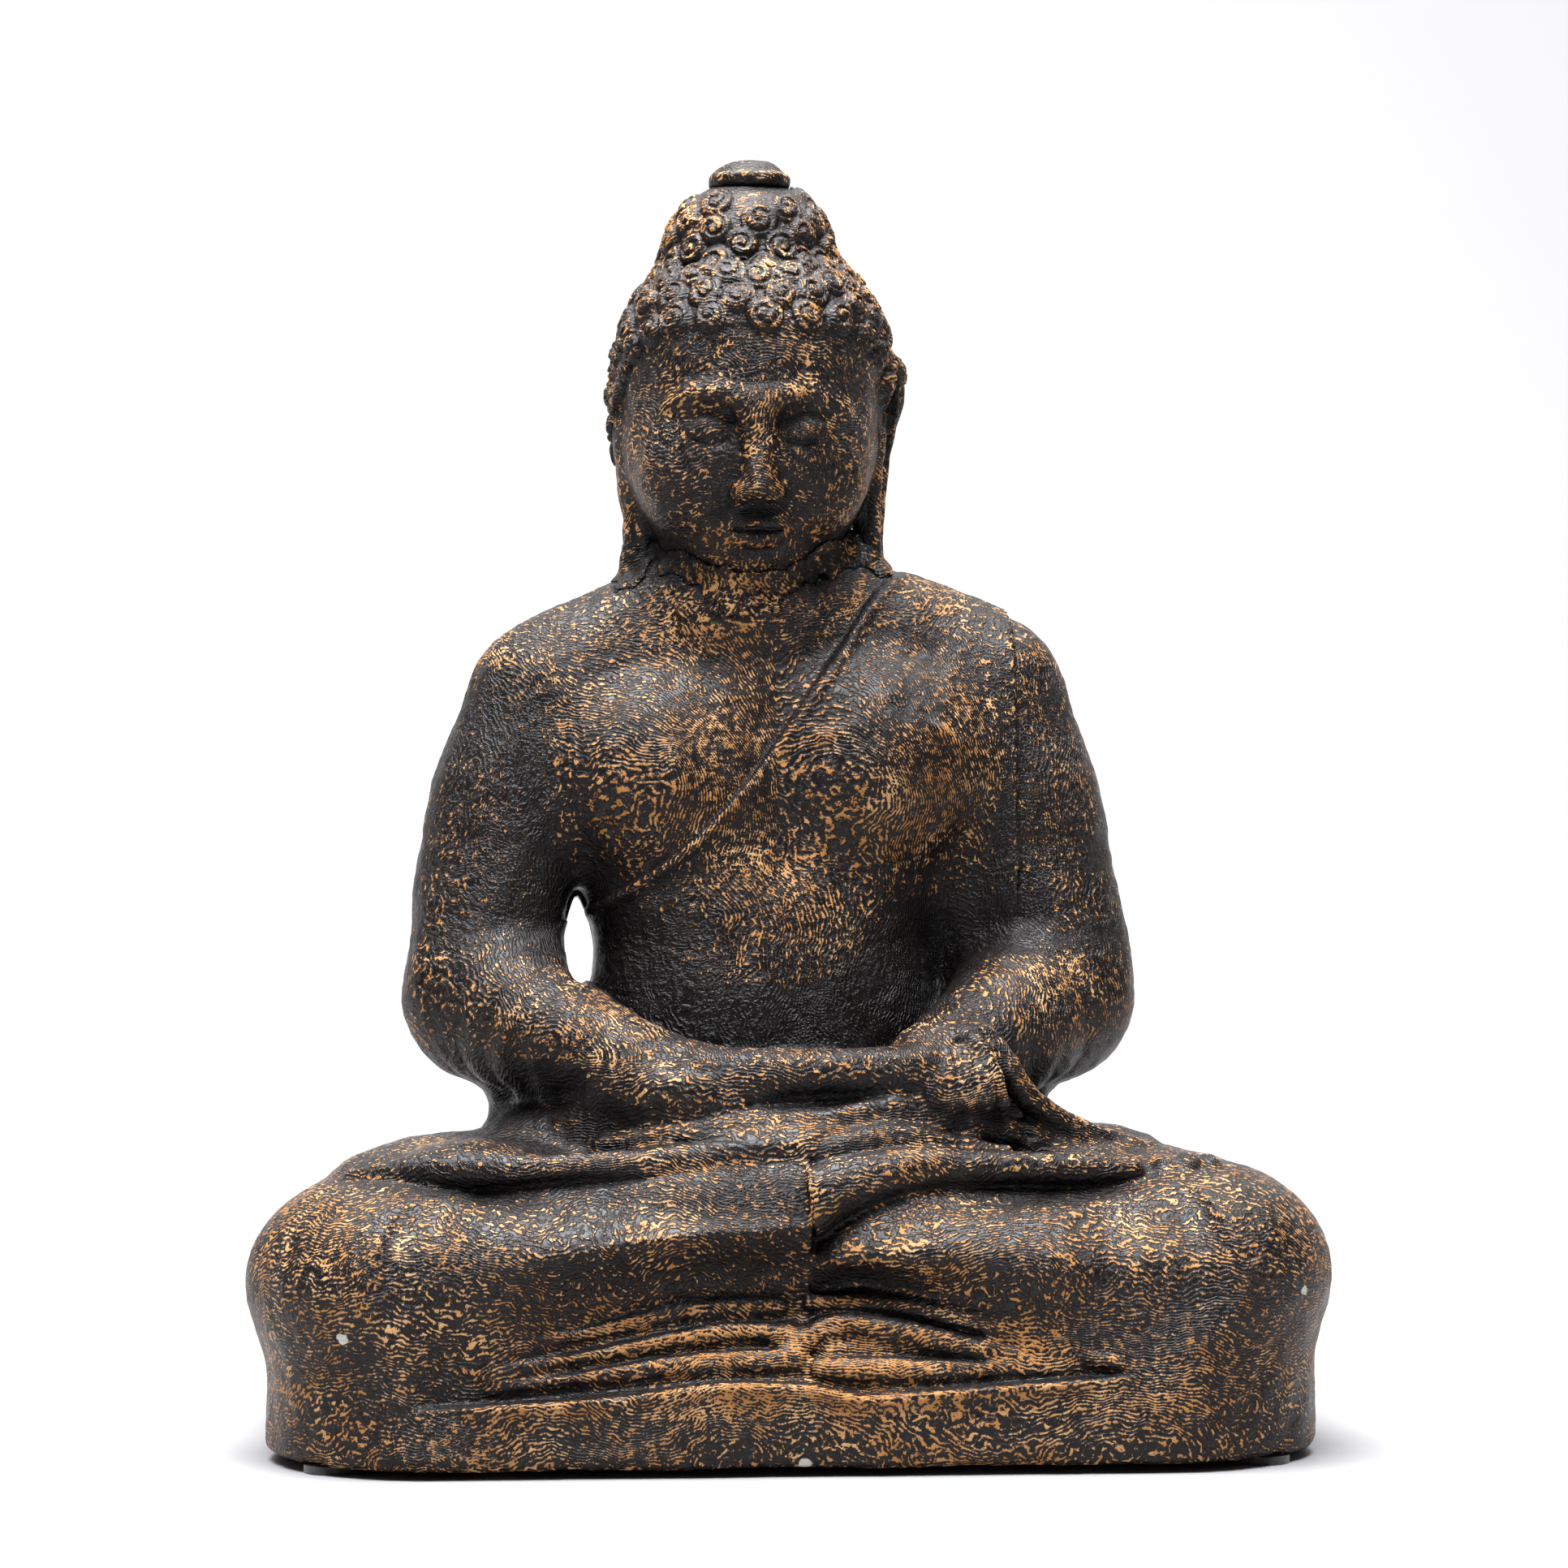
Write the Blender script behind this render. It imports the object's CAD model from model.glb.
"""A cast cement figure of a seated buddha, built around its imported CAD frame.

The visible castings are sculpted as signed distance fields in millimetres, turned into meshes,
and painted with node materials: a near-black satin coat with gold ochre dry-brushed over it.
The bars, grout, slab and pads inside stay as the CAD made them and only get their materials.
"""

import math
import bpy
import numpy as np
from mathutils import Matrix, Vector


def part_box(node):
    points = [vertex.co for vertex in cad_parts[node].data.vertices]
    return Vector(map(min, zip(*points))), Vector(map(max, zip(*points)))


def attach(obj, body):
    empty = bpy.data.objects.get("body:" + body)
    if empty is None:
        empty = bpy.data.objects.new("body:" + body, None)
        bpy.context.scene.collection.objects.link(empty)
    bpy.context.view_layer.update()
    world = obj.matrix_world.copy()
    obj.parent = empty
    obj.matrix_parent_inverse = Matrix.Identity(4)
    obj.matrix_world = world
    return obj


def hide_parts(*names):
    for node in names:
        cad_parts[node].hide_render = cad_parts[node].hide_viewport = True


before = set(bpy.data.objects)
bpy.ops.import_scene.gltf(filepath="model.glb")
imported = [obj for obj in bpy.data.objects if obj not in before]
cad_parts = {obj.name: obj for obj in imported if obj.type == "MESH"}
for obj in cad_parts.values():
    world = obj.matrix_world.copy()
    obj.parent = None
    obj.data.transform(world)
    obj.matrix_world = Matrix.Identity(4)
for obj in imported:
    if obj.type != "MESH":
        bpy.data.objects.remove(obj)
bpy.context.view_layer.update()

MM = 0.001               # the sculpture is worked in millimetres
FAR = 60.0               # distance given to points that no shape reaches
SEED = 20417

BODY_STEP = 1.35         # pitch of the lattice that each casting is meshed on
HEAD_STEP = 0.95
SMALL_STEP = 0.8


def in_mm(corner):
    return np.array(corner, float) / MM


def node_box(name):
    """Lowest and highest corner of a CAD node, in millimetres."""
    low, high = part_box(name)
    return in_mm(low), in_mm(high)


# ---- sizes read from the frame

front_low, front_high = node_box("body_front_shell")
rear_high = node_box("body_rear_shell")[1]
head_low, head_high = node_box("head_casting")
knob_low, knob_high = node_box("crown_finial")
collar_low, collar_high = node_box("neck_mortar_collar")
dowel_low, dowel_high = node_box("neck_dowel")
slab_high = node_box("base_slab")[1]

HALF_WIDTH = front_high[0]
FOOT = front_low[2]
PARTING = front_high[1]
NECK_X, NECK_Y = (dowel_low[:2] + dowel_high[:2]) / 2
SLAB_HALF = slab_high[:2]
TORSO_X = NECK_X + 7.0
PLAIN_FRONT = 113        # half depth of the foot of the figure
LEG_END = 172            # the legs are carved this far out to either side
ABOVE_ALL = 520          # a height over the whole figure
NECK_POCKET = ((NECK_X, NECK_Y), 36.6, collar_low[2], 400, 0.5)
PIN_HOLE = 6.3           # radius of the hole for the steel pin
TENON = 4.9              # radius of the knob's tenon
KNOB_FOOT = 15.9         # radius of the knob where it sits in the hair
KNOB_HEIGHT = 12
GAP = 0.08               # clearance between neighbouring castings
HEAD = np.array([NECK_X, NECK_Y - 5.0, knob_high[2] - 98.8])
HEAD_LEAN = math.radians(8.0)


# ---- shapes for the clay


def smooth_min(a, b, k):
    k = np.maximum(k, 1e-6)
    h = np.maximum(k - np.abs(a - b), 0) / k
    return np.minimum(a, b) - h * h * k / 4


def smoothstep(x):
    x = np.clip(x, 0, 1)
    return x * x * (3 - 2 * x)


def rise(value, start, run):
    """0 up to the start, 1 from a run beyond it."""
    return smoothstep((value - start) / run)


def fall(value, end, run):
    """0 from the end on, 1 up to a run before it."""
    return smoothstep((end - value) / run)


def bell(x):
    return np.exp(-np.square(x))


def length(v):
    return np.sqrt(np.einsum("ij,ij->i", v, v))


class Shape:
    """A distance function and the box that holds its surface."""

    def __init__(self, distance, low, high):
        self.distance = distance
        self.low = np.array(low, np.float32)
        self.high = np.array(high, np.float32)

    def near(self, points, margin):
        inside = np.ones(len(points), bool)
        for axis in range(3):
            column = points[:, axis]
            inside &= (column > self.low[axis] - margin) & (column < self.high[axis] + margin)
        return np.flatnonzero(inside)


def ball(centre, radii, turn=None):
    """An ellipsoid. turn is a 3x3 matrix whose columns are its own axes."""
    centre = np.array(centre, np.float32)
    radii = np.array(radii, np.float32) * np.ones(3, np.float32)
    axes = np.eye(3, dtype=np.float32) if turn is None else np.array(turn, np.float32)

    def distance(points):
        local = (points - centre) @ axes
        scaled = length(local / radii)
        return scaled * (scaled - 1) / np.maximum(length(local / radii**2), 1e-4)

    reach = np.abs(axes) @ radii
    return Shape(distance, centre - reach, centre + reach)


def rope(stations):
    """A tube through (x, y, z, radius) stations, rounded where it turns."""
    spots = smooth_path(np.array(stations, np.float32))
    centres, radii = spots[:, :3], spots[:, 3]

    def distance(points):
        best = np.full(len(points), FAR, np.float32)
        for i in range(len(centres) - 1):
            span = centres[i + 1] - centres[i]
            offset = points - centres[i]
            t = np.clip(offset @ span / max(float(span @ span), 1e-6), 0, 1)
            gap = length(offset - t[:, None] * span) - (radii[i] + (radii[i + 1] - radii[i]) * t)
            best = np.minimum(best, gap)
        return best

    return Shape(distance, centres.min(0) - radii.max(), centres.max(0) + radii.max())


def smooth_path(stations, steps=3):
    """Catmull-Rom points through the stations, a few to each span."""
    if len(stations) < 3:
        return stations
    ends = np.vstack([2 * stations[0] - stations[1], stations, 2 * stations[-1] - stations[-2]])
    path = []
    for i in range(1, len(ends) - 2):
        a, b, c, d = ends[i - 1 : i + 3]
        for t in np.arange(steps) / steps:
            cubic = -a + 3 * b - 3 * c + d
            square = 2 * a - 5 * b + 4 * c - d
            path.append(0.5 * (2 * b + (c - a) * t + square * t**2 + cubic * t**3))
    path.append(ends[-2])
    return np.array(path, np.float32)


def block(half, corner, low, high, top_round, bottom_round):
    """An upright block with a rounded plan and rounded top and bottom edges."""
    half = np.array(half, np.float32)
    middle, tall = (low + high) / 2, (high - low) / 2

    def distance(points):
        q = np.abs(points[:, :2]) - (half - corner)
        plan = length(np.maximum(q, 0)) + np.minimum(q.max(1), 0) - corner
        above = points[:, 2] - middle
        edge = np.where(above > 0, top_round, bottom_round)
        out = np.stack([plan + edge, np.abs(above) - tall + edge], 1)
        return length(np.maximum(out, 0)) + np.minimum(out.max(1), 0) - edge

    return Shape(distance, [-half[0], -half[1], low], [half[0], half[1], high])


def upright(centre, radius, low, high, edge):
    """A vertical cylinder with a rounded rim."""
    centre = np.array(centre, np.float32)
    middle, tall = (low + high) / 2, (high - low) / 2

    def distance(points):
        plan = length(points[:, :2] - centre) - radius
        out = np.stack([plan + edge, np.abs(points[:, 2] - middle) - tall + edge], 1)
        return length(np.maximum(out, 0)) + np.minimum(out.max(1), 0) - edge

    return Shape(distance, [*(centre - radius), low], [*(centre + radius), high])


class Clay:
    """The signed distance to a growing sculpture, at a fixed set of points."""

    def __init__(self, points):
        self.points = np.asarray(points, np.float32)
        self.d = np.full(len(points), FAR, np.float32)

    def add(self, shape, blend=0.0):
        near = shape.near(self.points, blend + 14)
        here = shape.distance(self.points[near])
        self.d[near] = smooth_min(self.d[near], here, blend)

    def cut(self, shape, blend=0.0):
        near = shape.near(self.points, blend + 14)
        here = shape.distance(self.points[near])
        self.d[near] = -smooth_min(-self.d[near], here, blend)

    def ball(self, centre, radii, blend):
        self.add(ball(centre, radii), blend)

    def rope(self, stations, blend):
        self.add(rope(stations), blend)

    def line(self, stations, width, depth):
        """Presses a groove of this depth along a path, or raises a ridge if depth is negative."""
        path = rope([(*spot, 0.0) for spot in stations])
        near = path.near(self.points, 3 * width)
        self.d[near] += depth * bell(path.distance(self.points[near]) / width)

    def lift(self, height):
        """Raises the whole surface by a height given at each point."""
        self.d -= height


def ripples(points, wavelength, seed, waves=7):
    """A smooth random field between about -1 and 1, made of plane waves."""
    rng = np.random.default_rng(SEED + seed)
    total = np.zeros(len(points), np.float32)
    for _ in range(waves):
        direction = rng.normal(size=3)
        direction /= np.linalg.norm(direction)
        pull = (2 * math.pi / wavelength) * rng.uniform(0.6, 1.5) * direction
        total += np.sin(points @ pull.astype(np.float32) + rng.uniform(0, 6.28)).astype(np.float32)
    return total / math.sqrt(waves)


# ---- body


def mirrored(side, *stations):
    """Stations measured out from the torso's centre line, on one side."""
    return [(TORSO_X + side * out, *rest) for out, *rest in stations]


def torso(clay):
    """Belly, waist, ribs, shoulders, neck root and chest, from the seat up."""
    x = TORSO_X
    clay.ball((x + 1, 27, 112), (94, 70, 62), 10)
    clay.ball((x, 26, 170), (70, 51, 70), 24)
    clay.ball((x - 1, 28, 240), (86, 51, 62), 26)
    clay.ball((x - 1, 32, 284), (104, 40, 34), 22)
    for side in (-1, 1):
        drop = 1.25 * (1 - side)
        yoke = [(88 - drop, 30, 294 - drop, 26), (75, 30, 301 - drop, 26), (58, 30, 308 - drop, 27)]
        yoke += [(32, 29, 317, 26)]
        clay.rope(mirrored(side, *yoke), 14)
    clay.rope([(x - 4, 32, 296, 46), (NECK_X + 1, 27, 326, 39)], 16)
    clay.ball((NECK_X, -2, 319), (26, 14, 14), 10)
    clay.ball((x - 38, -3, 258), (41, 22, 32), 16)
    clay.ball((x + 40, -4, 262), (43, 23, 34), 16)
    clay.ball((x, -2, 166), (54, 28, 48), 24)


def arms(clay):
    """Upper arms, elbows and forearms, and the opening under the right arm."""
    for side in (-1, 1):
        left = (side + 1) / 2
        upper = [(82 + 3 * left, 30, 281, 34), (98 + left, 26, 246, 35), (106, 20, 212, 31)]
        clay.rope(mirrored(side, *upper), 14)
        elbow = [upper[-1], (109 + 3 * left, 15, 190, 31), (108 + 2 * left, 12, 171, 34)]
        clay.rope(mirrored(side, *elbow), 5)
        lower = [(107, 11, 171, 34), (88, -22, 159, 26), (56, -54, 147, 16)]
        clay.rope(mirrored(side, *lower), 7)
        clay.rope(mirrored(side, (88, 14, 100, 24), (86, 15, 146, 22)), 12)
    clay.ball((TORSO_X, 34, 262), (100, 24, 50), 8)
    clay.ball((TORSO_X + 80, 22, 206), (22, 24, 56), 10)
    clay.cut(ball((-80.3, 16, 193), (5.3, 75, 19)), 4)


def lap(clay):
    """The foot of the figure and the crossed thighs."""
    clay.add(block((HALF_WIDTH - 6.5, PLAIN_FRONT), 64, FOOT, 99, 33, 5))
    clay.ball((6, 12, 88), (188, 100, 36), 10)
    clay.ball((-148, -44, 66.5), (58, 68, 42), 12)
    clay.ball((148, -44, 69), (58, 68, 42), 12)
    clay.rope([(-140, -46, 68, 38), (-60, -64, 84, 34), (4, -66, 92, 33)], 5)
    clay.rope([(140, -46, 68, 37), (60, -64, 78, 33), (10, -66, 82, 32)], 5)
    carve_front(clay)


# columns across the front of the lap: the height of the foot's lip, of the top of the fan of
# cloth and of the thigh's front edge, then how far the surface lies behind the plain front at
# the top of the fan, in the hollow over it and at the thigh's edge
RIGHT_LEG = (
    (-172, 25, 26, 79, 0, 0, 8),
    (-145, 25, 30, 81, 0.5, 0.5, 6),
    (-109, 26, 44, 84, 7, 6, 4),
    (-66, 29.5, 57, 90, 16, 15, 6),
    (-31, 33.5, 61, 94, 21, 20, 9),
    (3.2, 33, 59, 98, 23, 23, 10.5),
)
LEFT_LEG = (
    (4.4, 32, 59, 78, 23, 25, 18),
    (13, 30, 62, 79, 23, 25, 12),
    (24, 28.5, 63, 81, 22, 23, 9.5),
    (57, 31, 53, 83, 15, 15, 6),
    (92, 33.5, 45, 80, 7, 6, 4),
    (118, 35, 39, 77, 1.5, 1.5, 4),
    (140, 36, 37, 77, 0, 0, 6),
    (172, 36, 37, 76, 0, 0, 8),
)


def leg_columns(x):
    table = np.array(RIGHT_LEG + LEFT_LEG)
    return [np.interp(x, table[:, 0], table[:, i]) for i in range(1, 7)]


def front_depth(x, z):
    """How far the front of the lap lies behind the plain front of the foot."""
    lip, fan_top, edge, fan_deep, cave_deep, edge_deep = leg_columns(x)
    ledge_deep = 6.0
    ledge = ledge_deep * rise(z, lip, 2.2) * smoothstep(fan_deep / 3)
    fan = np.clip((z - lip) / (fan_top - lip), 0, 1) ** 0.9 * np.maximum(fan_deep - ledge_deep, 0)
    tall = edge - fan_top
    cave = rise(z, fan_top, 0.45 * tall) * (cave_deep - fan_deep)
    brow = rise(z, fan_top + 0.2 * tall, 0.8 * tall) * (edge_deep - 3 - cave_deep)
    over = 0.47 * (np.hypot(z - edge, 7) + z - edge)
    return ledge + fan + cave + brow + over


def carve_front(clay):
    """Cuts the front of the lap back to the fan, the hollow over it and the thighs."""
    x, y, z = clay.points.T
    near = np.flatnonzero((np.abs(x) < LEG_END) & (y < -55) & (z > 22) & (z < 132))
    x, y, z = x[near], y[near], z[near]
    from_end = LEG_END - np.abs(x)
    depth = front_depth(x, z) * smoothstep(from_end / 30) - 30 * (1 - smoothstep(from_end / 6))
    clay.d[near] = np.maximum(clay.d[near], 0.75 * (depth - PLAIN_FRONT - y))


def on_fan(x, z, radius, proud):
    """A station of a fold that stands proud of the fan of cloth."""
    depth = front_depth(np.array([float(x)]), np.array([float(z)]))[0]
    return (x, depth - PLAIN_FRONT + radius - proud, z, radius)


def fan_folds(clay):
    """Folds of cloth that run out from a knot between the legs."""
    folds = [
        [(-4, 41, 5, 5), (-22, 41, 5, 4.6), (-50, 39.5, 4.4, 4), (-80, 36.5, 3.6, 3.2), (-116, 33, 2.4, 1)],
        [(-6, 51, 4.4, 4.6), (-30, 51.5, 4.2, 4.2), (-70, 45.5, 3.6, 3.4), (-118, 37.5, 2.4, 0.8)],
        [(-8, 60, 4.4, 3.6), (-38, 59.5, 4.2, 3.4), (-74, 53, 3.6, 2.8), (-108, 46.5, 2.4, 0.4)],
        [(0, 48, 4.6, 5), (13, 54, 4.6, 4.6), (34, 51.5, 4.4, 4.8), (60, 46, 4, 3.6), (88, 40.5, 3, 1.6)],
        [(4, 61.5, 4.4, 3.4), (30, 61, 4, 3.2), (56, 56, 3.6, 2.8), (86, 49, 2.8, 0.8)],
        [(6, 38, 4.6, 5), (36, 37, 4.6, 4), (70, 37.5, 4.2, 3.4), (100, 38.5, 3, 1.6)],
        [(84, 46, 2.4, 1.4), (104, 42.5, 2.6, 1.8), (128, 37.5, 2.4, 0.8)],
    ]
    for fold in folds:
        clay.rope([on_fan(*station) for station in fold], 2.2)
    clay.ball(on_fan(-3, 45, 6, 5)[:3], (7, 6, 8), 4)
    grooves = (
        ((-12, 46), (-48, 44.5), (-104, 36)),
        ((-12, 56), (-50, 52.5), (-100, 42.5)),
        ((4, 43), (30, 43.5), (66, 41)),
        ((8, 58), (34, 57), (66, 50)),
    )
    for groove in grooves:
        clay.line([on_fan(x, z, 0, 1.5)[:3] for x, z in groove], 1.3, 1.4)
    lips = (((-124, 25.5), (-66, 28.5), (-31, 32.5), (0, 32)), ((6, 31), (24, 27.5), (57, 30), (104, 33.5)))
    for lip in lips:
        clay.rope([on_fan(x, z, 1.6, 1.0) for x, z in lip], 2.5)


def side_only(shape, edge):
    """The part of a shape on the figure's left of a plane of constant x."""

    def distance(points):
        return np.maximum(shape.distance(points), edge - points[:, 0])

    return Shape(distance, shape.low, shape.high)


def shins_and_feet(clay):
    """The crossed shins, the cloth that lies over them, and the toes at the left."""
    clay.ball((-117, -28, 101), (58, 46, 20), 8)
    clay.ball((104, -28, 102), (60, 44, 15), 8)
    crest = [(2, -84.5, 114, 5), (14, -83.5, 118, 5.5), (26, -81.5, 121, 5.5), (38, -79.5, 122, 5)]
    crest += [(54, -77, 119, 4.4), (78, -74, 114.5, 4)]
    clay.rope(crest, 5)
    clay.ball((24, -68, 116), (34, 16, 10), 6)
    tongue = [(-166, -58, 106, 3), (-153, -66, 107.5, 5), (-130, -74, 109, 5.6), (-107, -79, 109.5, 5.4)]
    tongue += [(-72, -83, 112, 5.2), (-48, -84, 113.5, 5), (-20, -85, 116.5, 4.6), (3, -85, 119, 4.4)]
    clay.rope(tongue, 3.5)
    under = [(-158, -68, 103), (-130, -77, 103.5), (-100, -84, 104.5), (-60, -88, 107), (-20, -89, 111.5)]
    clay.line(under, 1.5, 1.4)
    clay.ball((-118, -62, 110), (30, 20, 10), 6)
    clay.rope([(-144, -60, 97, 7), (-104, -73, 98.5, 8), (-60, -77, 101, 8), (-30, -78, 104, 8)], 5)
    clay.rope([(58, -74, 99, 8), (92, -70, 98.5, 8), (124, -62, 97, 7)], 5)
    shin = [(2, -88, 97, 14.5), (9, -87.5, 101, 13.5), (18, -86.5, 104, 12), (32, -85, 108, 10)]
    shin += [(57, -82, 110, 8), (92, -78, 109.5, 6.5), (126, -71, 107.5, 5.5)]
    clay.add(side_only(rope(shin), 2.6), 2)
    clay.ball((140, -64, 107), (6, 8, 6), 3)
    clay.ball((148, -63, 107.5), (6.5, 8, 6.5), 2)
    clay.ball((157, -59, 107), (5.5, 7, 6), 2)


def right_hand(clay):
    """The hand that lies on top, and the cloth beneath its edge."""
    clay.ball((-5, -22, 118), (110, 50, 27), 10)
    clay.ball((-6, -40, 126), (82, 38, 22), 8)
    clay.ball((-40, -55, 138), (36, 23, 16), 8)
    palm = [(-54, -52, 147, 14), (-34, -62, 146, 9.5), (8, -70, 146, 8), (46, -67, 146, 8.5)]
    clay.rope(palm, 5)
    clay.ball((8, -54, 143), (60, 22, 10), 5)
    upper_fold = [(-74, -66, 119, 2), (-50, -74, 121, 4), (-25, -77, 123.5, 4.6), (5, -78, 127, 5)]
    upper_fold += [(30, -75, 131, 5), (44, -70, 133, 4)]
    clay.rope(upper_fold, 4)
    lower_fold = [(-60, -76, 114, 2.5), (-37, -81, 116, 4.4), (-13, -83, 119, 4.4), (4, -83, 122, 4)]
    lower_fold += [(14, -80, 124, 3)]
    clay.rope(lower_fold, 4)
    slit = [(-20, 133.4, 0.8), (-4, 135, 2.2), (16, 136.4, 2.4), (35, 137.4, 1)]
    for depth in (-84, -80, -76):
        clay.cut(rope([(x, depth, z, radius) for x, z, radius in slit]), 1.5)
    clay.line([(-60, -80, 126), (-30, -84, 129.5), (-10, -84, 131)], 2.0, 1.4)
    clay.line([(-46, -80, 119.5), (-20, -88, 122.5), (4, -88, 125)], 1.4, 1.3)


def left_hand(clay):
    """The knuckles and fingers that come round the right hand."""
    clay.ball((44, -58, 129), (34, 17, 12), 6)
    clay.ball((62, -57, 138), (14, 14, 13), 4)
    clay.ball((65, -57, 156), (9.5, 9.5, 8), 3)
    for out, reach in ((51, 128), (57.5, 126), (64, 128), (70, 131)):
        finger = [(out - 1, -66, 151, 4.2), (out, -71, 143, 4.6), (out + 0.5, -72, 135, 4.6)]
        clay.rope(finger + [(out, -69, reach, 4)], 0.8)
    clay.line([(-46, -72, 143), (-30, -76, 147), (0, -79, 149), (44, -77, 149), (52, -77, 143)], 1.2, 0.8)
    clay.line([(-52, -70, 140), (-46, -74, 146), (-41, -70, 152)], 1.6, 1.0)


def sleeve(clay):
    """The end of the robe that falls from the left wrist over the thigh."""
    clay.ball((100, -32, 106), (42, 28, 16), 6)
    clay.rope([(66, -66, 123, 6), (78, -60, 121, 7), (92, -52, 117, 8), (108, -44, 112, 8)], 6)
    clay.ball((118, -26, 113), (24, 20, 9), 6)
    clay.rope([(69, -66, 155, 3.6), (74, -69, 144, 3.8), (78, -68, 133, 3.6)], 2)
    cloth = [(72, -58, 159, 4.5), (80, -61, 147, 5), (86, -59, 137, 5), (96, -53, 128, 5.2)]
    cloth += [(112, -47, 119.5, 5.2), (134, -40, 111, 5.2), (148, -30, 105, 5)]
    clay.rope(cloth, 3)
    clay.line([(82, -66, 149), (90, -63, 137), (102, -57, 127), (122, -50, 118)], 1.2, 1.2)
    clay.line([(81, -68, 140), (84, -66, 128), (88, -60, 120)], 2.2, 3.0)


# the hem runs from the left side of the neck down across the chest to under the right arm
HEM = ((48, 338), (37, 330), (22, 308), (9, 290), (-13, 258), (-36, 233), (-64, 213), (-92, 196))
BACK_HEM = ((48, 338), (30, 322), (-6, 292), (-46, 254), (-92, 214))


def side_of(points, outline):
    """Signed distance in the x-z plane to an outline that falls to the left, plus below it."""
    spots = smooth_path(np.array(outline, np.float32))
    x, z = points[:, 0], points[:, 2]
    best = np.full(len(points), 1000.0, np.float32)
    sign = np.ones(len(points), np.float32)
    for (ax, az), (bx, bz) in zip(spots[:-1], spots[1:]):
        run_x, run_z = bx - ax, bz - az
        t = np.clip(((x - ax) * run_x + (z - az) * run_z) / (run_x**2 + run_z**2), 0, 1)
        off_x, off_z = x - ax - t * run_x, z - az - t * run_z
        gap = np.hypot(off_x, off_z)
        closer = gap < best
        best = np.where(closer, gap, best)
        sign = np.where(closer, np.sign(off_x * -run_z + off_z * run_x), sign)
    return best * sign


def robe(clay):
    """The thickness of the cloth over the left shoulder, and the folds gathered there."""
    points = clay.points
    near = np.flatnonzero((points[:, 2] > 186) & (np.abs(points[:, 0] - TORSO_X) < 96))
    here = points[near]
    edge = np.where(here[:, 1] < PARTING, side_of(here, HEM), side_of(here, BACK_HEM))
    fade = rise(here[:, 2], 190, 22) * fall(here[:, 2], 346, 26)
    step = smoothstep(0.5 + edge / 1.5) + 0.6 * bell((edge - 2.6) / 2.2)
    thickness = 2.3
    clay.d[near] -= thickness * step * fade
    clay.line([(40, -16, 322), (28, -24, 302), (13, -28, 282), (-2, -32, 262)], 1.6, 0.9)
    clay.line([(54, -8, 318), (52, -18, 300), (46, -26, 284)], 4.5, 1.6)
    clay.line([(12, -29, 272), (28, -32, 278), (42, -33, 284), (54, -30, 281), (66, -22, 268)], 3.2, -2.0)
    clay.line([(34, -33, 277), (46, -34, 278), (55, -31, 274), (63, -25, 265)], 1.8, 1.6)
    clay.line([(-74, -20, 272), (-64, -26, 277), (-54, -28, 273)], 3.2, -1.8)


def back_folds(clay):
    """Long shallow folds of the robe down the back."""
    for i in range(6):
        out = -34 + 20 * i
        top = 300 - 9 * abs(i - 3) - (34 if i == 0 else 0)
        path = [(out + 4, 84, top), (out - 3, 86, top - 60)]
        path += [(out - 8 + 3 * i, 88, 150), (out - 12 + 5 * i, 96, 112)]
        clay.line(path, 3.2, 1.5)
        clay.line([(px + 5, py, pz) for px, py, pz in path], 3.0, -1.2)
    for i, height in enumerate((92, 66, 42)):
        reach = 150 - 14 * i
        path = [(-reach, 100, height - 12), (-60, 115, height)]
        path += [(60, 115, height + 3), (reach, 100, height - 9)]
        clay.line(path, 3.5, 1.8)
        clay.line([(px, py, pz - 6) for px, py, pz in path], 3.0, -1.5)


def body_field(points, closed=False):
    """Signed distance to the whole body casting. closed leaves out the hollow inside."""
    clay = Clay(points)
    lap(clay)
    torso(clay)
    arms(clay)
    fan_folds(clay)
    shins_and_feet(clay)
    right_hand(clay)
    left_hand(clay)
    sleeve(clay)
    robe(clay)
    back_folds(clay)
    seam_step(clay)
    near = np.flatnonzero(np.abs(clay.d) < 12)
    here = clay.points[near]
    clay.d[near] -= 0.55 * ripples(here, 60, 1) + 0.16 * ripples(here, 17, 2)
    clay.d[near] -= 0.10 * ripples(here, 6.5, 3)
    if closed:
        return clay.d
    clay.cut(upright(*NECK_POCKET))
    hollow(clay)
    return clay.d


def seam_step(clay):
    """The mould's witness line down the middle of the lap, a small step down to one side."""
    x, y, z = clay.points.T
    window = fall(y, -62, 8) * rise(z, 54, 8) * fall(z, 116, 5)
    across = x - 3.5
    step = 0.9 * smoothstep(0.5 + across / 1.2) * bell(across / 22)
    ridge = 0.6 * bell((across + 1.4) / 1.2)
    clay.d += (step - ridge) * window


def hollow(clay):
    """The space inside the casting, and the seat of the slab that closes it."""
    wall, tall = 16, 62
    clay.cut(block(SLAB_HALF, 44, FOOT - 20, slab_high[2], 0.5, 0))
    clay.cut(block(SLAB_HALF - wall, 40, FOOT, slab_high[2] + tall, 24, 0))
    clay.cut(rope([(TORSO_X, 32, 90, 38), (TORSO_X, 32, 170, 34), (TORSO_X, 32, 228, 32)]), 4)


def half_body(side):
    """The part of the body on one side of the parting face. side is -1 for the front."""

    def field(points):
        cut = side * (PARTING - points[:, 1]) + GAP
        return np.maximum(body_field(points), cut)

    return field


# ---- head


LEAN = np.array(Matrix.Rotation(HEAD_LEAN, 3, "X"))


def in_head(spot):
    """A point of the head's own frame, which leans forward, in the figure's frame."""
    return LEAN @ np.array(spot[:3], float) + HEAD


def head_ball(centre, radii):
    return ball(in_head(centre), radii, LEAN)


def head_rope(*stations):
    return rope([(*in_head(s), s[3]) for s in stations])


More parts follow.
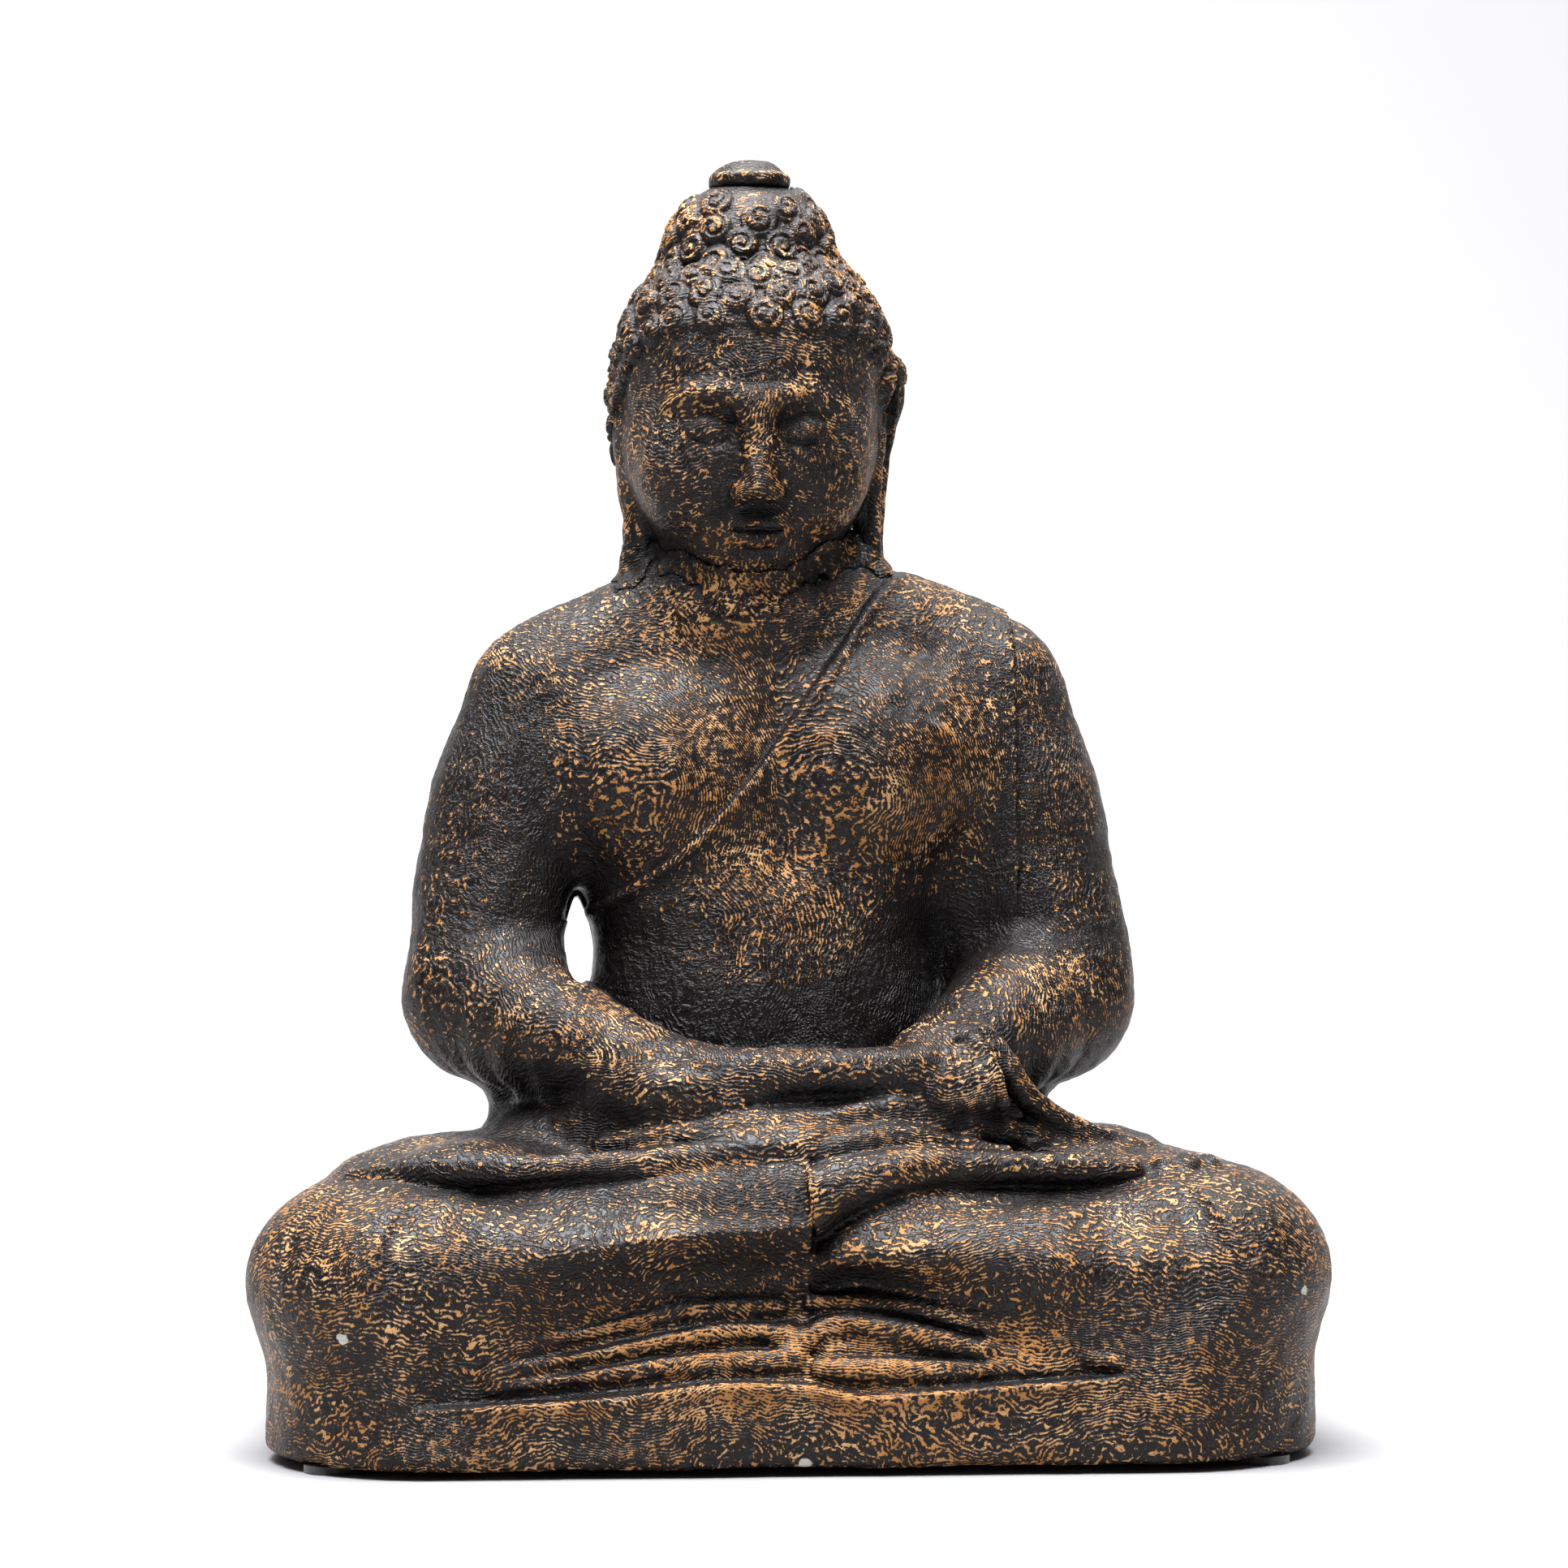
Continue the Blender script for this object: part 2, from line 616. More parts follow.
def head_line(clay, stations, width, depth):
    clay.line([in_head(s) for s in stations], width, depth)


# half sizes and middles, in the head's frame, of the ellipsoids that carry the hair
CRANIUM = (49, 55, 58)
SKULL = (51.5, 57, 44)
SKULL_AT = (1.8, 3, 22)
TOPKNOT = (32.5, 32.5, 33)
TOPKNOT_AT = (0, 7, 57)


def skull(clay):
    """The plain head, neck and topknot."""
    clay.add(head_ball((0, 0, 0), CRANIUM), 0)
    clay.add(head_ball(SKULL_AT, SKULL), 8)
    clay.add(head_ball((0, -11, -21), (43.5, 42, 41)), 20)
    clay.add(head_ball((0, 16, -45), (42, 27, 28)), 10)
    clay.add(upright((NECK_X, NECK_Y), 32.5, head_low[2], 372, 1), 12)
    clay.add(head_ball(TOPKNOT_AT, TOPKNOT), 5)


def hair_height(here):
    """How far a point in head coordinates lies above the line where the hair begins."""
    y = here[:, 1]
    line = np.interp(y, (-50, -38, -24, -12, 2, 16, 34, 50), (35, 33, 26, 13, -8, -29, -41, -44))
    return here[:, 2] - line


def face(clay):
    """Closed eyes and a still mouth, laid out to the schoolbook thirds and fifths of a head."""
    clay.add(head_ball((0, -34, -50), (17, 17, 12)), 14)
    clay.add(head_ball((0, -43, -38), (16, 9, 7)), 8)
    for side in (-1, 1):
        clay.add(head_ball((side * 24, -34, -24), (17, 15, 19)), 12)
        clay.cut(head_ball((side * 17, -62, -2), (13, 10, 8)), 9)
        clay.add(head_ball((side * 18, -45.5, -5), (10.5, 9, 7.5)), 3)
        brow = [(3, -54, 2, 1.6), (10, -54.5, 9, 1.5), (22, -50.5, 10, 1.4), (33, -42, 4, 1)]
        clay.add(head_rope(*[(side * x, y, z, radius) for x, y, z, radius in brow]), 8)
        lid = [(side * 8, -51, -7), (side * 13, -54, -9.2), (side * 19, -54, -9.6), (side * 27, -48, -6.5)]
        head_line(clay, lid, 1.3, 1.1)
        crease = [(side * 9, -53, -1), (side * 17, -54, 2.6), (side * 26, -50, -1)]
        head_line(clay, crease, 1.1, 0.7)
        clay.add(head_ball((side * 6.6, -57.5, -27.5), (4.2, 6, 4.2)), 4)
        clay.cut(head_ball((side * 4.2, -61, -31.6), (2.2, 3, 1.6)), 2)
        head_line(clay, [(side * 9, -54, -30), (side * 15, -50, -37)], 2.5, 0.8)
    clay.add(head_rope((0, -54, 6, 4), (0, -57, -6, 4.2), (0, -61, -18, 5), (0, -63, -25, 5.6)), 7)
    head_line(clay, [(0, -58, -32), (0, -57, -36)], 1.5, 0.8)
    lip = [(-13, -47.5, -42, 1.6), (-4, -53.5, -39.6, 3.1), (0, -54, -40.4, 2.8)]
    lip += [(4, -53.5, -39.6, 3.1), (13, -47.5, -42, 1.6)]
    clay.add(head_rope(*lip), 3)
    clay.add(head_rope((-10, -48.5, -44.4, 2), (0, -53, -46, 3.6), (10, -48.5, -44.4, 2)), 3)
    mouth = [(-15, -47, -41.4), (-7, -54, -42.6), (0, -56, -42.2), (7, -54, -42.6), (15, -47, -41.4)]
    head_line(clay, mouth, 0.9, 1.5)
    head_line(clay, [(-7, -50, -51), (0, -52, -52), (7, -50, -51)], 2.5, 0.8)


EAR_SHIFT = 4.0          # both ears sit a little to the figure's left, as cast


def ear(clay, side):
    """A long ear: rolled rim, hollow shell, and a lobe that hangs to the jaw."""
    clay.add(head_ball((side * 48, 2, -10), (5.5, 10, 30)), 5)
    clay.add(head_ball((side * 46, -3, -44), (4, 7, 17)), 5)
    rim = [(47, -9, 8, 3), (48.5, -6, 14, 3.2), (51.5, 2, 16, 3.6), (54.8, 9, 8, 3.8)]
    rim += [(52.2, 11, -8, 3.4), (49.5, 8, -24, 3.2), (47, 3, -42, 3.4), (46.2, -2, -58, 3.8)]
    front = [(47, -9, -8, 3), (46, -9, -24, 2.6), (45.5, -9, -42, 2.8), (45.5, -6, -57, 3.4)]
    for roll in (rim, front):
        clay.add(head_rope(*[(side * x + EAR_SHIFT, y, z, r) for x, y, z, r in roll]), 2.5)
    fold = [(51, -2, 12), (52, 2, 3), (51, 0, -10), (49.5, -2, -28), (48, -4, -48)]
    head_line(clay, [(side * x + EAR_SHIFT, y, z) for x, y, z in fold], 2.6, 3.2)


CURL_PITCH = 11.0        # from the middle of one curl to the next


def on_ellipsoid(centre, radii, count):
    """Points spread evenly over an ellipsoid, from the top down, on a golden spiral."""
    i = np.arange(count) + 0.5
    height = 1 - 2 * i / count
    turn = i * math.pi * (3 - math.sqrt(5))
    ring = np.sqrt(1 - height**2)
    unit = np.stack([ring * np.cos(turn), ring * np.sin(turn), height], 1)
    return unit * radii + centre


def on_skull(count):
    """Points on the cranium: its broad upper part, and the narrower nape below."""
    upper = on_ellipsoid(SKULL_AT, SKULL, count)
    lower = on_ellipsoid((0, 0, 0), CRANIUM, count)
    upper = upper[length(upper / CRANIUM) > 1]
    lower = lower[length((lower - SKULL_AT) / SKULL) > 1]
    return np.vstack([upper, lower])


def curl_places():
    """Centres of the snail curls in head coordinates, packed from the hairline up."""
    over_skull = on_skull(5200)
    over_skull = over_skull[hair_height(over_skull) > 4.0]
    knot_foot = 44.5
    topknot = length((over_skull - TOPKNOT_AT) / (np.array(TOPKNOT) + 4.5)) < 1
    over_skull = over_skull[~topknot]
    over_skull = over_skull[np.argsort(hair_height(over_skull).round(0), kind="stable")]
    knot = on_ellipsoid(TOPKNOT_AT, TOPKNOT, 1800)
    outside = length(knot / (np.array(SKULL) + 3.5)) > 1
    knot = knot[outside & (knot[:, 2] < 82.5) & (knot[:, 2] > knot_foot)]
    knot = knot[np.argsort(knot[:, 2].round(0), kind="stable")]
    chosen = []
    for group in (over_skull, knot):
        for spot in group:
            if not chosen or length(np.array(chosen) - spot).min() > CURL_PITCH:
                chosen.append(spot)
    return np.array(chosen)


def curls(clay, here):
    """Low domes, each cut with a spiral, on the hair."""
    rng = np.random.default_rng(SEED + 40)
    relief = np.zeros(len(here), np.float32)
    for spot in curl_places():
        radius = rng.uniform(6.6, 7.6)
        turn = rng.uniform(0, 2 * math.pi)
        hand = rng.choice((-1, 1))
        knot = length(((spot - TOPKNOT_AT) / TOPKNOT)[None])[0] < 1.02
        middle, radii = (TOPKNOT_AT, TOPKNOT) if knot else (SKULL_AT, SKULL)
        if not knot and spot[2] < 4:
            middle, radii = (0, 0, 0), CRANIUM
        normal = (spot - middle) / np.square(radii)
        normal /= np.linalg.norm(normal)
        side = np.cross(normal, (0.3, 0.1, 1.0))
        side /= np.linalg.norm(side)
        up = np.cross(side, normal)
        near = np.flatnonzero((np.abs(here - spot) < radius + 3).all(1))
        offset = here[near] - spot
        u, v = offset @ side, offset @ up
        reach = np.hypot(u, v) / radius
        angle = hand * np.arctan2(v, u) + turn
        dome = np.sqrt(np.clip(1 - reach**3, 0, 1))
        coil = np.cos(2 * math.pi * (reach * radius / 3.9 - angle / (2 * math.pi)))
        groove = rise(coil, 0.1, 0.9) * fall(reach, 1, 0.25) * smoothstep(reach * 3)
        relief[near] = np.maximum(relief[near], 2.8 * dome - 1.2 * groove)
    clay.d -= relief


def head_field(points):
    """Signed distance to the head casting: face, ears, curled hair and neck."""
    clay = Clay(points)
    skull(clay)
    face(clay)
    for side in (-1, 1):
        ear(clay, side)
    here = (clay.points - HEAD.astype(np.float32)) @ LEAN.astype(np.float32)
    edge = hair_height(here)
    ears_begin, ears_top, hair_thickness = 53.0, 20, 0.9
    ears_aside = smoothstep((ears_begin - np.abs(here[:, 0])) / 2)
    hair = smoothstep(0.5 + edge / 2.2) * np.maximum(ears_aside, here[:, 2] > ears_top)
    clay.d -= hair_thickness * hair
    local = np.flatnonzero((np.abs(clay.d) < 8) & (edge > -3))
    patch = Clay(clay.points[local])
    patch.d = clay.d[local]
    curls(patch, here[local])
    clay.d[local] = patch.d
    near = np.flatnonzero(np.abs(clay.d) < 8)
    clay.d[near] -= 0.32 * ripples(clay.points[near], 19, 11) + 0.1 * ripples(clay.points[near], 6, 12)
    neck_lines(clay)
    clay.cut(upright((NECK_X, NECK_Y), PIN_HOLE, 300, dowel_high[2] + 1, 0.5))
    clay.cut(upright(knob_middle(), TENON + 0.4, knob_low[2] - 1, ABOVE_ALL, 0.5))
    clay.cut(upright(knob_middle(), KNOB_FOOT + 0.6, knob_high[2] - KNOB_HEIGHT - 0.1, ABOVE_ALL, 0.2))
    return clay.d


def knob_middle():
    return (knob_low[:2] + knob_high[:2]) / 2


def neck_lines(clay):
    """Two soft creases round the front of the neck."""
    neck_radius = 33
    for height in (340, 349):
        ring = []
        for a in (-1.3, -0.8, -0.3, 0.3, 0.8, 1.3):
            x = NECK_X + neck_radius * math.sin(a)
            y = NECK_Y - neck_radius * math.cos(a)
            ring.append((x, y, height + 4 * abs(a)))
        clay.line(ring, 1.3, 0.9)


def knob_field(points):
    """The turned knob on the crown, its brim worn and uneven."""
    clay = Clay(points)
    middle = knob_middle()
    foot = knob_high[2] - KNOB_HEIGHT
    clay.add(upright(middle, KNOB_FOOT, foot, foot + 5, 1.4))
    clay.ball((*middle, foot + 2.6), (15, 15, 8.8), 2)
    clay.add(upright(middle, TENON, knob_low[2], foot + 4, 0.8))
    clay.lift(0.25 * ripples(clay.points, 11, 21) - 0.1)
    return clay.d


MORTAR_EDGE = 0.4        # the smear of mortar breaks off where it gets thinner than this


def mortared(points, body, neck):
    """The outside of body and head with mortar smeared into the angle between them."""
    smear = 10 + 4 * ripples(points, 30, 31)
    return smooth_min(body, neck, smear) + 0.25 * ripples(points, 9, 32)


def collar_field(points):
    """Mortar packed round the neck and smeared by hand up it and out over the shoulders."""
    body = body_field(points, closed=True)
    neck = head_field(points)
    pocket = np.maximum(body, -upright(*NECK_POCKET).distance(points))
    outside = np.minimum(body, neck)
    mortar = mortared(points, body, neck)
    thin = 3 * (MORTAR_EDGE - (outside - mortar))    # three times, for a steep broken edge
    mortar = np.maximum(mortar, np.minimum(thin, outside))
    mortar = np.maximum(mortar, collar_low[2] + 0.3 - points[:, 2])
    mortar = np.maximum(mortar, GAP - neck)
    mortar = np.maximum(mortar, GAP - pocket)
    hole = upright((NECK_X, NECK_Y), PIN_HOLE, 300, 360, 0.5).distance(points)
    return np.maximum(mortar, -hole)


# ---- clay to mesh


BLOCK = 8                # fine cells along the side of one coarse cell


def sampled(field, low, high, step):
    """Values of a field on a lattice, worked out only near the surface."""
    counts = np.ceil((high - low) / (step * BLOCK)).astype(int)
    pitch = step * BLOCK
    corner = np.indices(counts).reshape(3, -1).T
    centres = low + (corner + 0.5) * pitch
    coarse = field(centres)
    near = np.abs(coarse) < pitch * 1.05
    values = np.repeat(np.repeat(np.repeat(
        np.where(coarse > 0, FAR, -FAR).reshape(counts), BLOCK, 0), BLOCK, 1), BLOCK, 2)
    values = values.astype(np.float32)
    inner = np.indices((BLOCK,) * 3).reshape(3, -1).T
    spots = (corner[near][:, None] * BLOCK + inner[None]).reshape(-1, 3)
    for part in np.array_split(spots, max(1, len(spots) // 400000)):
        values[part[:, 0], part[:, 1], part[:, 2]] = field(low + part * step)
    return values


CELL_CORNERS = np.array([(i, j, k) for i in (0, 1) for j in (0, 1) for k in (0, 1)])


def largest_part(vertices, quads):
    """Drops crumbs: keeps only the biggest connected piece of a mesh."""
    label = np.arange(len(vertices))
    settled_down = False
    while not settled_down:
        lowest = label[quads].min(1)
        merged = label.copy()
        np.minimum.at(merged, quads.ravel(), np.repeat(lowest, 4))
        merged = merged[merged]
        settled_down = bool((merged == label).all())
        label = merged
    owner = label[quads[:, 0]]
    names, counts = np.unique(owner, return_counts=True)
    quads = quads[owner == names[counts.argmax()]]
    used, renumbered = np.unique(quads, return_inverse=True)
    return vertices[used], renumbered.reshape(quads.shape)


def net_points(values, cells):
    """Where the surface runs in each cell: the mean of its crossings with the cell's edges."""
    corner_values = np.stack([values[tuple((cells + corner).T)] for corner in CELL_CORNERS], 1)
    sums = np.zeros((len(cells), 3))
    hits = np.zeros(len(cells))
    for a, corner in enumerate(CELL_CORNERS):
        for axis in np.flatnonzero(corner == 0):
            va, vb = corner_values[:, a], corner_values[:, a + (4, 2, 1)[axis]]
            crosses = (va < 0) != (vb < 0)
            spot = np.tile(corner.astype(float), (len(cells), 1))
            spot[:, axis] += np.where(crosses, va / np.where(crosses, va - vb, 1), 0)
            sums += spot * crosses[:, None]
            hits += crosses
    return cells + sums / hits[:, None]


def net_quads(inside, index):
    """A face for each lattice edge that the surface crosses, through the four cells round it."""
    shape = np.array(index.shape)
    quads = []
    for axis in range(3):
        start = inside.take(range(shape[axis]), axis)
        end = inside.take(range(1, shape[axis] + 1), axis)
        b, c = (axis + 1) % 3, (axis + 2) % 3
        edges = np.argwhere(start != end)
        edges = edges[(edges[:, b] > 0) & (edges[:, c] > 0) & (edges < shape).all(1)]
        flip = start[tuple(edges.T)]
        around = []
        for back_b, back_c in ((1, 1), (0, 1), (0, 0), (1, 0)):
            cell = edges.copy()
            cell[:, b] -= back_b
            cell[:, c] -= back_c
            around.append(index[tuple(cell.T)])
        quad = np.stack(around, 1)
        quad[~flip] = quad[~flip][:, ::-1]
        quads.append(quad)
    return np.vstack(quads)


def surface_net(values, low, step):
    """Vertices and quads of the zero surface of sampled values."""
    inside = values < 0
    shape = np.array(values.shape) - 1
    total = np.zeros(shape, np.int8)
    for i, j, k in CELL_CORNERS:
        total += inside[i : i + shape[0], j : j + shape[1], k : k + shape[2]]
    cells = np.argwhere((total > 0) & (total < 8))
    index = np.full(shape, -1, np.int32)
    index[tuple(cells.T)] = np.arange(len(cells))
    vertices = low + net_points(values, cells) * step
    return largest_part(vertices, net_quads(inside, index))


TETRA = np.array([(1, 1, 1), (1, -1, -1), (-1, 1, -1), (-1, -1, 1)], float)


def in_parts(field, points, size=300000):
    """Values of a field at many points, worked out in parts to save memory."""
    parts = np.array_split(points, max(1, len(points) // size + 1))
    return np.concatenate([field(part) for part in parts])


def gradient(field, points, reach):
    """The slope of a field, from its values at the corners of a small tetrahedron."""
    total = np.zeros_like(points)
    for corner in TETRA:
        total += corner * in_parts(field, points + corner * reach)[:, None]
    return total / (4 * reach)


def settled(field, points, step):
    """Moves mesh points onto the true surface."""
    for _ in range(2):
        slope = gradient(field, points, step * 0.4)
        size = np.maximum(length(slope), 0.4)
        move = in_parts(field, points) / size
        points = points - slope / size[:, None] * np.clip(move, -step, step)[:, None]
    return points


def sculpted(name, field, low, high, step):
    """A mesh object of a field's surface, and its points."""
    pad = 3 * step
    low, high = low - pad, high + pad
    vertices, quads = surface_net(sampled(field, low, high, step), low, step)
    vertices = settled(field, vertices, step)
    return mesh_object(name, vertices, quads), vertices


def mesh_object(name, vertices, quads):
    mesh = bpy.data.meshes.new(name)
    mesh.vertices.add(len(vertices))
    mesh.vertices.foreach_set("co", (vertices * MM).astype(np.float32).ravel())
    mesh.loops.add(quads.size)
    mesh.loops.foreach_set("vertex_index", quads.astype(np.int32).ravel())
    mesh.polygons.add(len(quads))
    mesh.polygons.foreach_set("loop_start", np.arange(0, quads.size, 4, dtype=np.int32))
    mesh.update(calc_edges=True)
    mesh.validate()
    mesh.shade_smooth()
    piece = bpy.data.objects.new(name, mesh)
    bpy.context.collection.objects.link(piece)
    return piece


def store(piece, name, values):
    layer = piece.data.attributes.new(name, "FLOAT", "POINT")
    layer.data.foreach_set("value", np.asarray(values, np.float32))


def normals_of(piece):
    flat = np.empty(len(piece.data.vertices) * 3, np.float32)
    piece.data.vertices.foreach_get("normal", flat)
    return flat.reshape(-1, 3)


def add_wear(piece, field, points):
    """Stores how deep in a fold each point lies, how far it stands proud, and where paint is scarce."""
    x, y, z = points.T
    out = normals_of(piece)
    sunk = np.zeros(len(points))
    for reach, share in ((2.5, 0.4), (7, 0.35), (18, 0.25)):
        open_air = in_parts(field, points + out * reach) / reach
        sunk += share * np.clip(1 - open_air, 0, 1)
    proud = np.zeros(len(points))
    for reach, share in ((1.6, 0.5), (5, 0.5)):
        inside = -in_parts(field, points - out * reach) / reach
        proud += share * np.clip(1 - inside, 0, 1)
    wide_reach = 34
    shade = np.clip(1 - in_parts(field, points + out * wide_reach) / wide_reach, 0, 1)
    belly = bell((z - 184) / 40) * bell((x - TORSO_X) / 70) * (y < PARTING)
    shade = np.clip(shade + 0.44 * belly, 0, 1)
    fan = bell((z - 44) / 17) * bell(x / 95) * (y < -85)
    proud = np.clip(proud + 0.55 * fan, 0, 1)
    arm = rise(np.abs(x - TORSO_X), 78, 16) * rise(z, 175, 20) * (z < 300)
    shade = np.clip(shade + 0.46 * arm, 0, 1)
    crisp = 1 + 0.9 * rise(z, 420, 12)
    store(piece, "hair", rise(z, 426, 8))
    store(piece, "shade", shade)
    store(piece, "sunk", np.clip(sunk * crisp, 0, 1))
    store(piece, "proud", np.clip(proud * crisp, 0, 1))


# ---- brush directions


def add_brush(piece, points):
    """Stores which way the dry brush was drawn: shares of upright, level, slant and swirl."""
    x, y, z = points.T
    upright_share = np.full(len(points), 0.45)
    level = np.full(len(points), 0.15)
    slant = np.full(len(points), 0.30)
    swirl = np.zeros(len(points))
    chest = rise(z, 215, 25) * fall(z, 320, 20) * (np.abs(x - TORSO_X) < 84)
    swirl += 1.6 * chest * (y < 20)
    belly = rise(z, 140, 10) * fall(z, 225, 20) * (np.abs(x - TORSO_X) < 70)
    upright_share += 1.2 * belly
    legs = fall(z, 112, 10)
    slant += 0.5 * legs
    level += 0.35 * legs
    level += 1.1 * rise(z, 112, 6) * fall(z, 152, 6) * (y < -30)
    arm = rise(np.abs(x - TORSO_X), 76, 12) * rise(z, 130, 10)
    upright_share += 0.9 * arm
    tops = rise(z, 300, 15) * fall(z, 345, 8)
    level += 0.3 * tops
    slant += 0.8 * tops
    shares = np.stack([upright_share, level, slant, swirl], 1)
    shares /= shares.sum(1, keepdims=True)
    for name, share in zip(("upright", "level", "slant", "swirl"), shares.T):
        store(piece, name, share)
    centre_x = np.where(x < TORSO_X, TORSO_X - 38, TORSO_X + 40)
    away = np.hypot(x - centre_x, 0.8 * (z - 262))
    store(piece, "whorl", (0.75 * away + 0.3 * y) * MM)


# ---- materials


def linear(red, green, blue):
    """A linear colour from the usual 0 to 255 numbers."""

    def one(part):
        return ((part / 255 + 0.055) / 1.055) ** 2.4 if part > 10 else part / 3294.6

    return (one(red), one(green), one(blue), 1.0)


class Nodes:
    """Short names for building a node tree."""

    def __init__(self, name):
        self.material = bpy.data.materials.new(name)
        self.material.use_nodes = True
        self.tree = self.material.node_tree
        self.tree.nodes.clear()
        self.output = self.tree.nodes.new("ShaderNodeOutputMaterial")
        self.shader = self.tree.nodes.new("ShaderNodeBsdfPrincipled")
        self.tree.links.new(self.shader.outputs[0], self.output.inputs[0])
        self.place = self.node("ShaderNodeTexCoord").outputs["Object"]

    def node(self, kind, **settings):
        made = self.tree.nodes.new(kind)
        for key, value in settings.items():
            setattr(made, key, value)
        return made

    def plug(self, socket, value):
        if isinstance(value, bpy.types.NodeSocket):
            self.tree.links.new(value, socket)
        else:
            socket.default_value = value

    def surface(self, name, value):
        self.plug(self.shader.inputs[name], value)

    def fed(self, kind, operation, values):
        made = self.node(kind, operation=operation)
        for socket, value in zip(made.inputs, values):
            self.plug(socket, value)
        return made.outputs

    def math(self, operation, *values):
        return self.fed("ShaderNodeMath", operation, values)[0]

    def times(self, *values):
        return self.math("MULTIPLY", *values)

    def plus(self, *values):
        return self.math("ADD", *values)

    def minus(self, *values):
        return self.math("SUBTRACT", *values)

    def vector(self, operation, *values):
        return self.fed("ShaderNodeVectorMath", operation, values)["Vector"]

    def measure(self, operation, *values):
        return self.fed("ShaderNodeVectorMath", operation, values)["Value"]

    def noise(self, vector, scale, detail=2.0, rough=0.5, distort=0.0):
        made = self.node("ShaderNodeTexNoise")
        self.plug(made.inputs["Vector"], vector)
        made.inputs["Scale"].default_value = scale
        made.inputs["Detail"].default_value = detail
        made.inputs["Roughness"].default_value = rough
        made.inputs["Distortion"].default_value = distort
        return made.outputs["Fac"]

    def ramp(self, value, low, high, out_low=0.0, out_high=1.0):
        made = self.node("ShaderNodeMapRange", interpolation_type="SMOOTHSTEP")
        self.plug(made.inputs["Value"], value)
        self.plug(made.inputs["From Min"], low)
        self.plug(made.inputs["From Max"], high)
        self.plug(made.inputs["To Min"], out_low)
        self.plug(made.inputs["To Max"], out_high)
        return made.outputs[0]

    def mix(self, amount, first, second):
        made = self.node("ShaderNodeMix", data_type="RGBA")
        self.plug(made.inputs[0], amount)
        self.plug(made.inputs[6], first)
        self.plug(made.inputs[7], second)
        return made.outputs[2]

    def attribute(self, name):
        return self.node("ShaderNodeAttribute", attribute_name=name).outputs["Fac"]

    def bump(self, height, distance, strength=1.0, under=None):
        made = self.node("ShaderNodeBump")
        self.plug(made.inputs["Height"], height)
        made.inputs["Distance"].default_value = distance
        made.inputs["Strength"].default_value = strength
        if under is not None:
            self.plug(made.inputs["Normal"], under)
        return made.outputs[0]


BLACK = linear(20, 15, 14)
DEEP = linear(10, 7, 6)
UMBER = linear(60, 36, 16)
OCHRE = linear(184, 126, 66)
PALE_OCHRE = linear(218, 170, 116)

RIDGE_PITCH = 0.0016     # metres from one brush ridge to the next


def brush_ridges(nodes, across, break_up, seed):
    """Wandering parallel ridges, as a stiff brush leaves. across is the coordinate over them."""
    phase = nodes.times(across, 2 * math.pi / RIDGE_PITCH)
    phase = nodes.plus(phase, seed)
    wave = nodes.times(nodes.math("SINE", phase), 0.6)
    return nodes.plus(wave, break_up)


def wandered(nodes):
    """Object coordinates pushed about, so that straight ridges turn into whorls and forks."""
    pushed = nodes.place
    for scale, reach in ((21, 0.042), (150, 0.006)):
        source = nodes.node("ShaderNodeTexNoise")
        nodes.plug(source.inputs["Vector"], nodes.place)
        source.inputs["Scale"].default_value = scale
        source.inputs["Detail"].default_value = 1
        step = nodes.vector("MULTIPLY", source.outputs["Color"], (reach, reach, reach))
        pushed = nodes.vector("ADD", pushed, step)
    return pushed


def along(nodes, vector, direction):
    return nodes.measure("DOT_PRODUCT", vector, direction)


def strokes(nodes):
    """The height of the brush's ridges, from whichever direction leads at a place."""
    pushed = wandered(nodes)
    breaks = nodes.noise(nodes.place, 400, detail=3.5, rough=0.7)
    break_up = nodes.times(nodes.minus(breaks, 0.5), 5.0)
    layers = (
        ("upright", along(nodes, pushed, (0.85, 0.53, 0.0))),
        ("level", along(nodes, pushed, (0.1, 0.35, 0.93))),
        ("slant", along(nodes, pushed, (-0.62, 0.4, 0.68))),
        ("swirl", nodes.plus(nodes.attribute("whorl"), along(nodes, pushed, (0.75, 0.1, 0.45)))),
    )
    choice = nodes.noise(nodes.place, 30, detail=1)
    total = None
    for i, (share, across) in enumerate(layers):
        ridges = brush_ridges(nodes, across, break_up, 1.7 * i)
        bias = nodes.times(choice, 0.4 if i % 2 else -0.4)
        lead = nodes.plus(nodes.attribute(share), bias)
        held_back = nodes.ramp(lead, 0.08, 0.42, -1.3, 0.0)
        part = nodes.plus(ridges, held_back)
        total = part if total is None else nodes.math("MAXIMUM", total, part)
    calm = nodes.minus(1.0, nodes.times(nodes.attribute("hair"), 0.5))
    return nodes.times(total, calm)


def bareness(nodes):
    """How high a ridge has to stand for the dry brush to reach it: high in folds, low on edges."""
    patches = nodes.noise(nodes.place, 24, detail=4, rough=0.6)
    bare = nodes.ramp(patches, 0.28, 0.72, 0.92, 0.34)
    bare = nodes.minus(bare, nodes.times(nodes.attribute("proud"), 1.1))
    bare = nodes.plus(bare, nodes.times(nodes.attribute("sunk"), 1.5))
    bare = nodes.plus(bare, nodes.ramp(nodes.attribute("shade"), 0.25, 0.9, 0.0, 1.2))
    return nodes.minus(bare, nodes.times(nodes.attribute("hair"), 0.22))


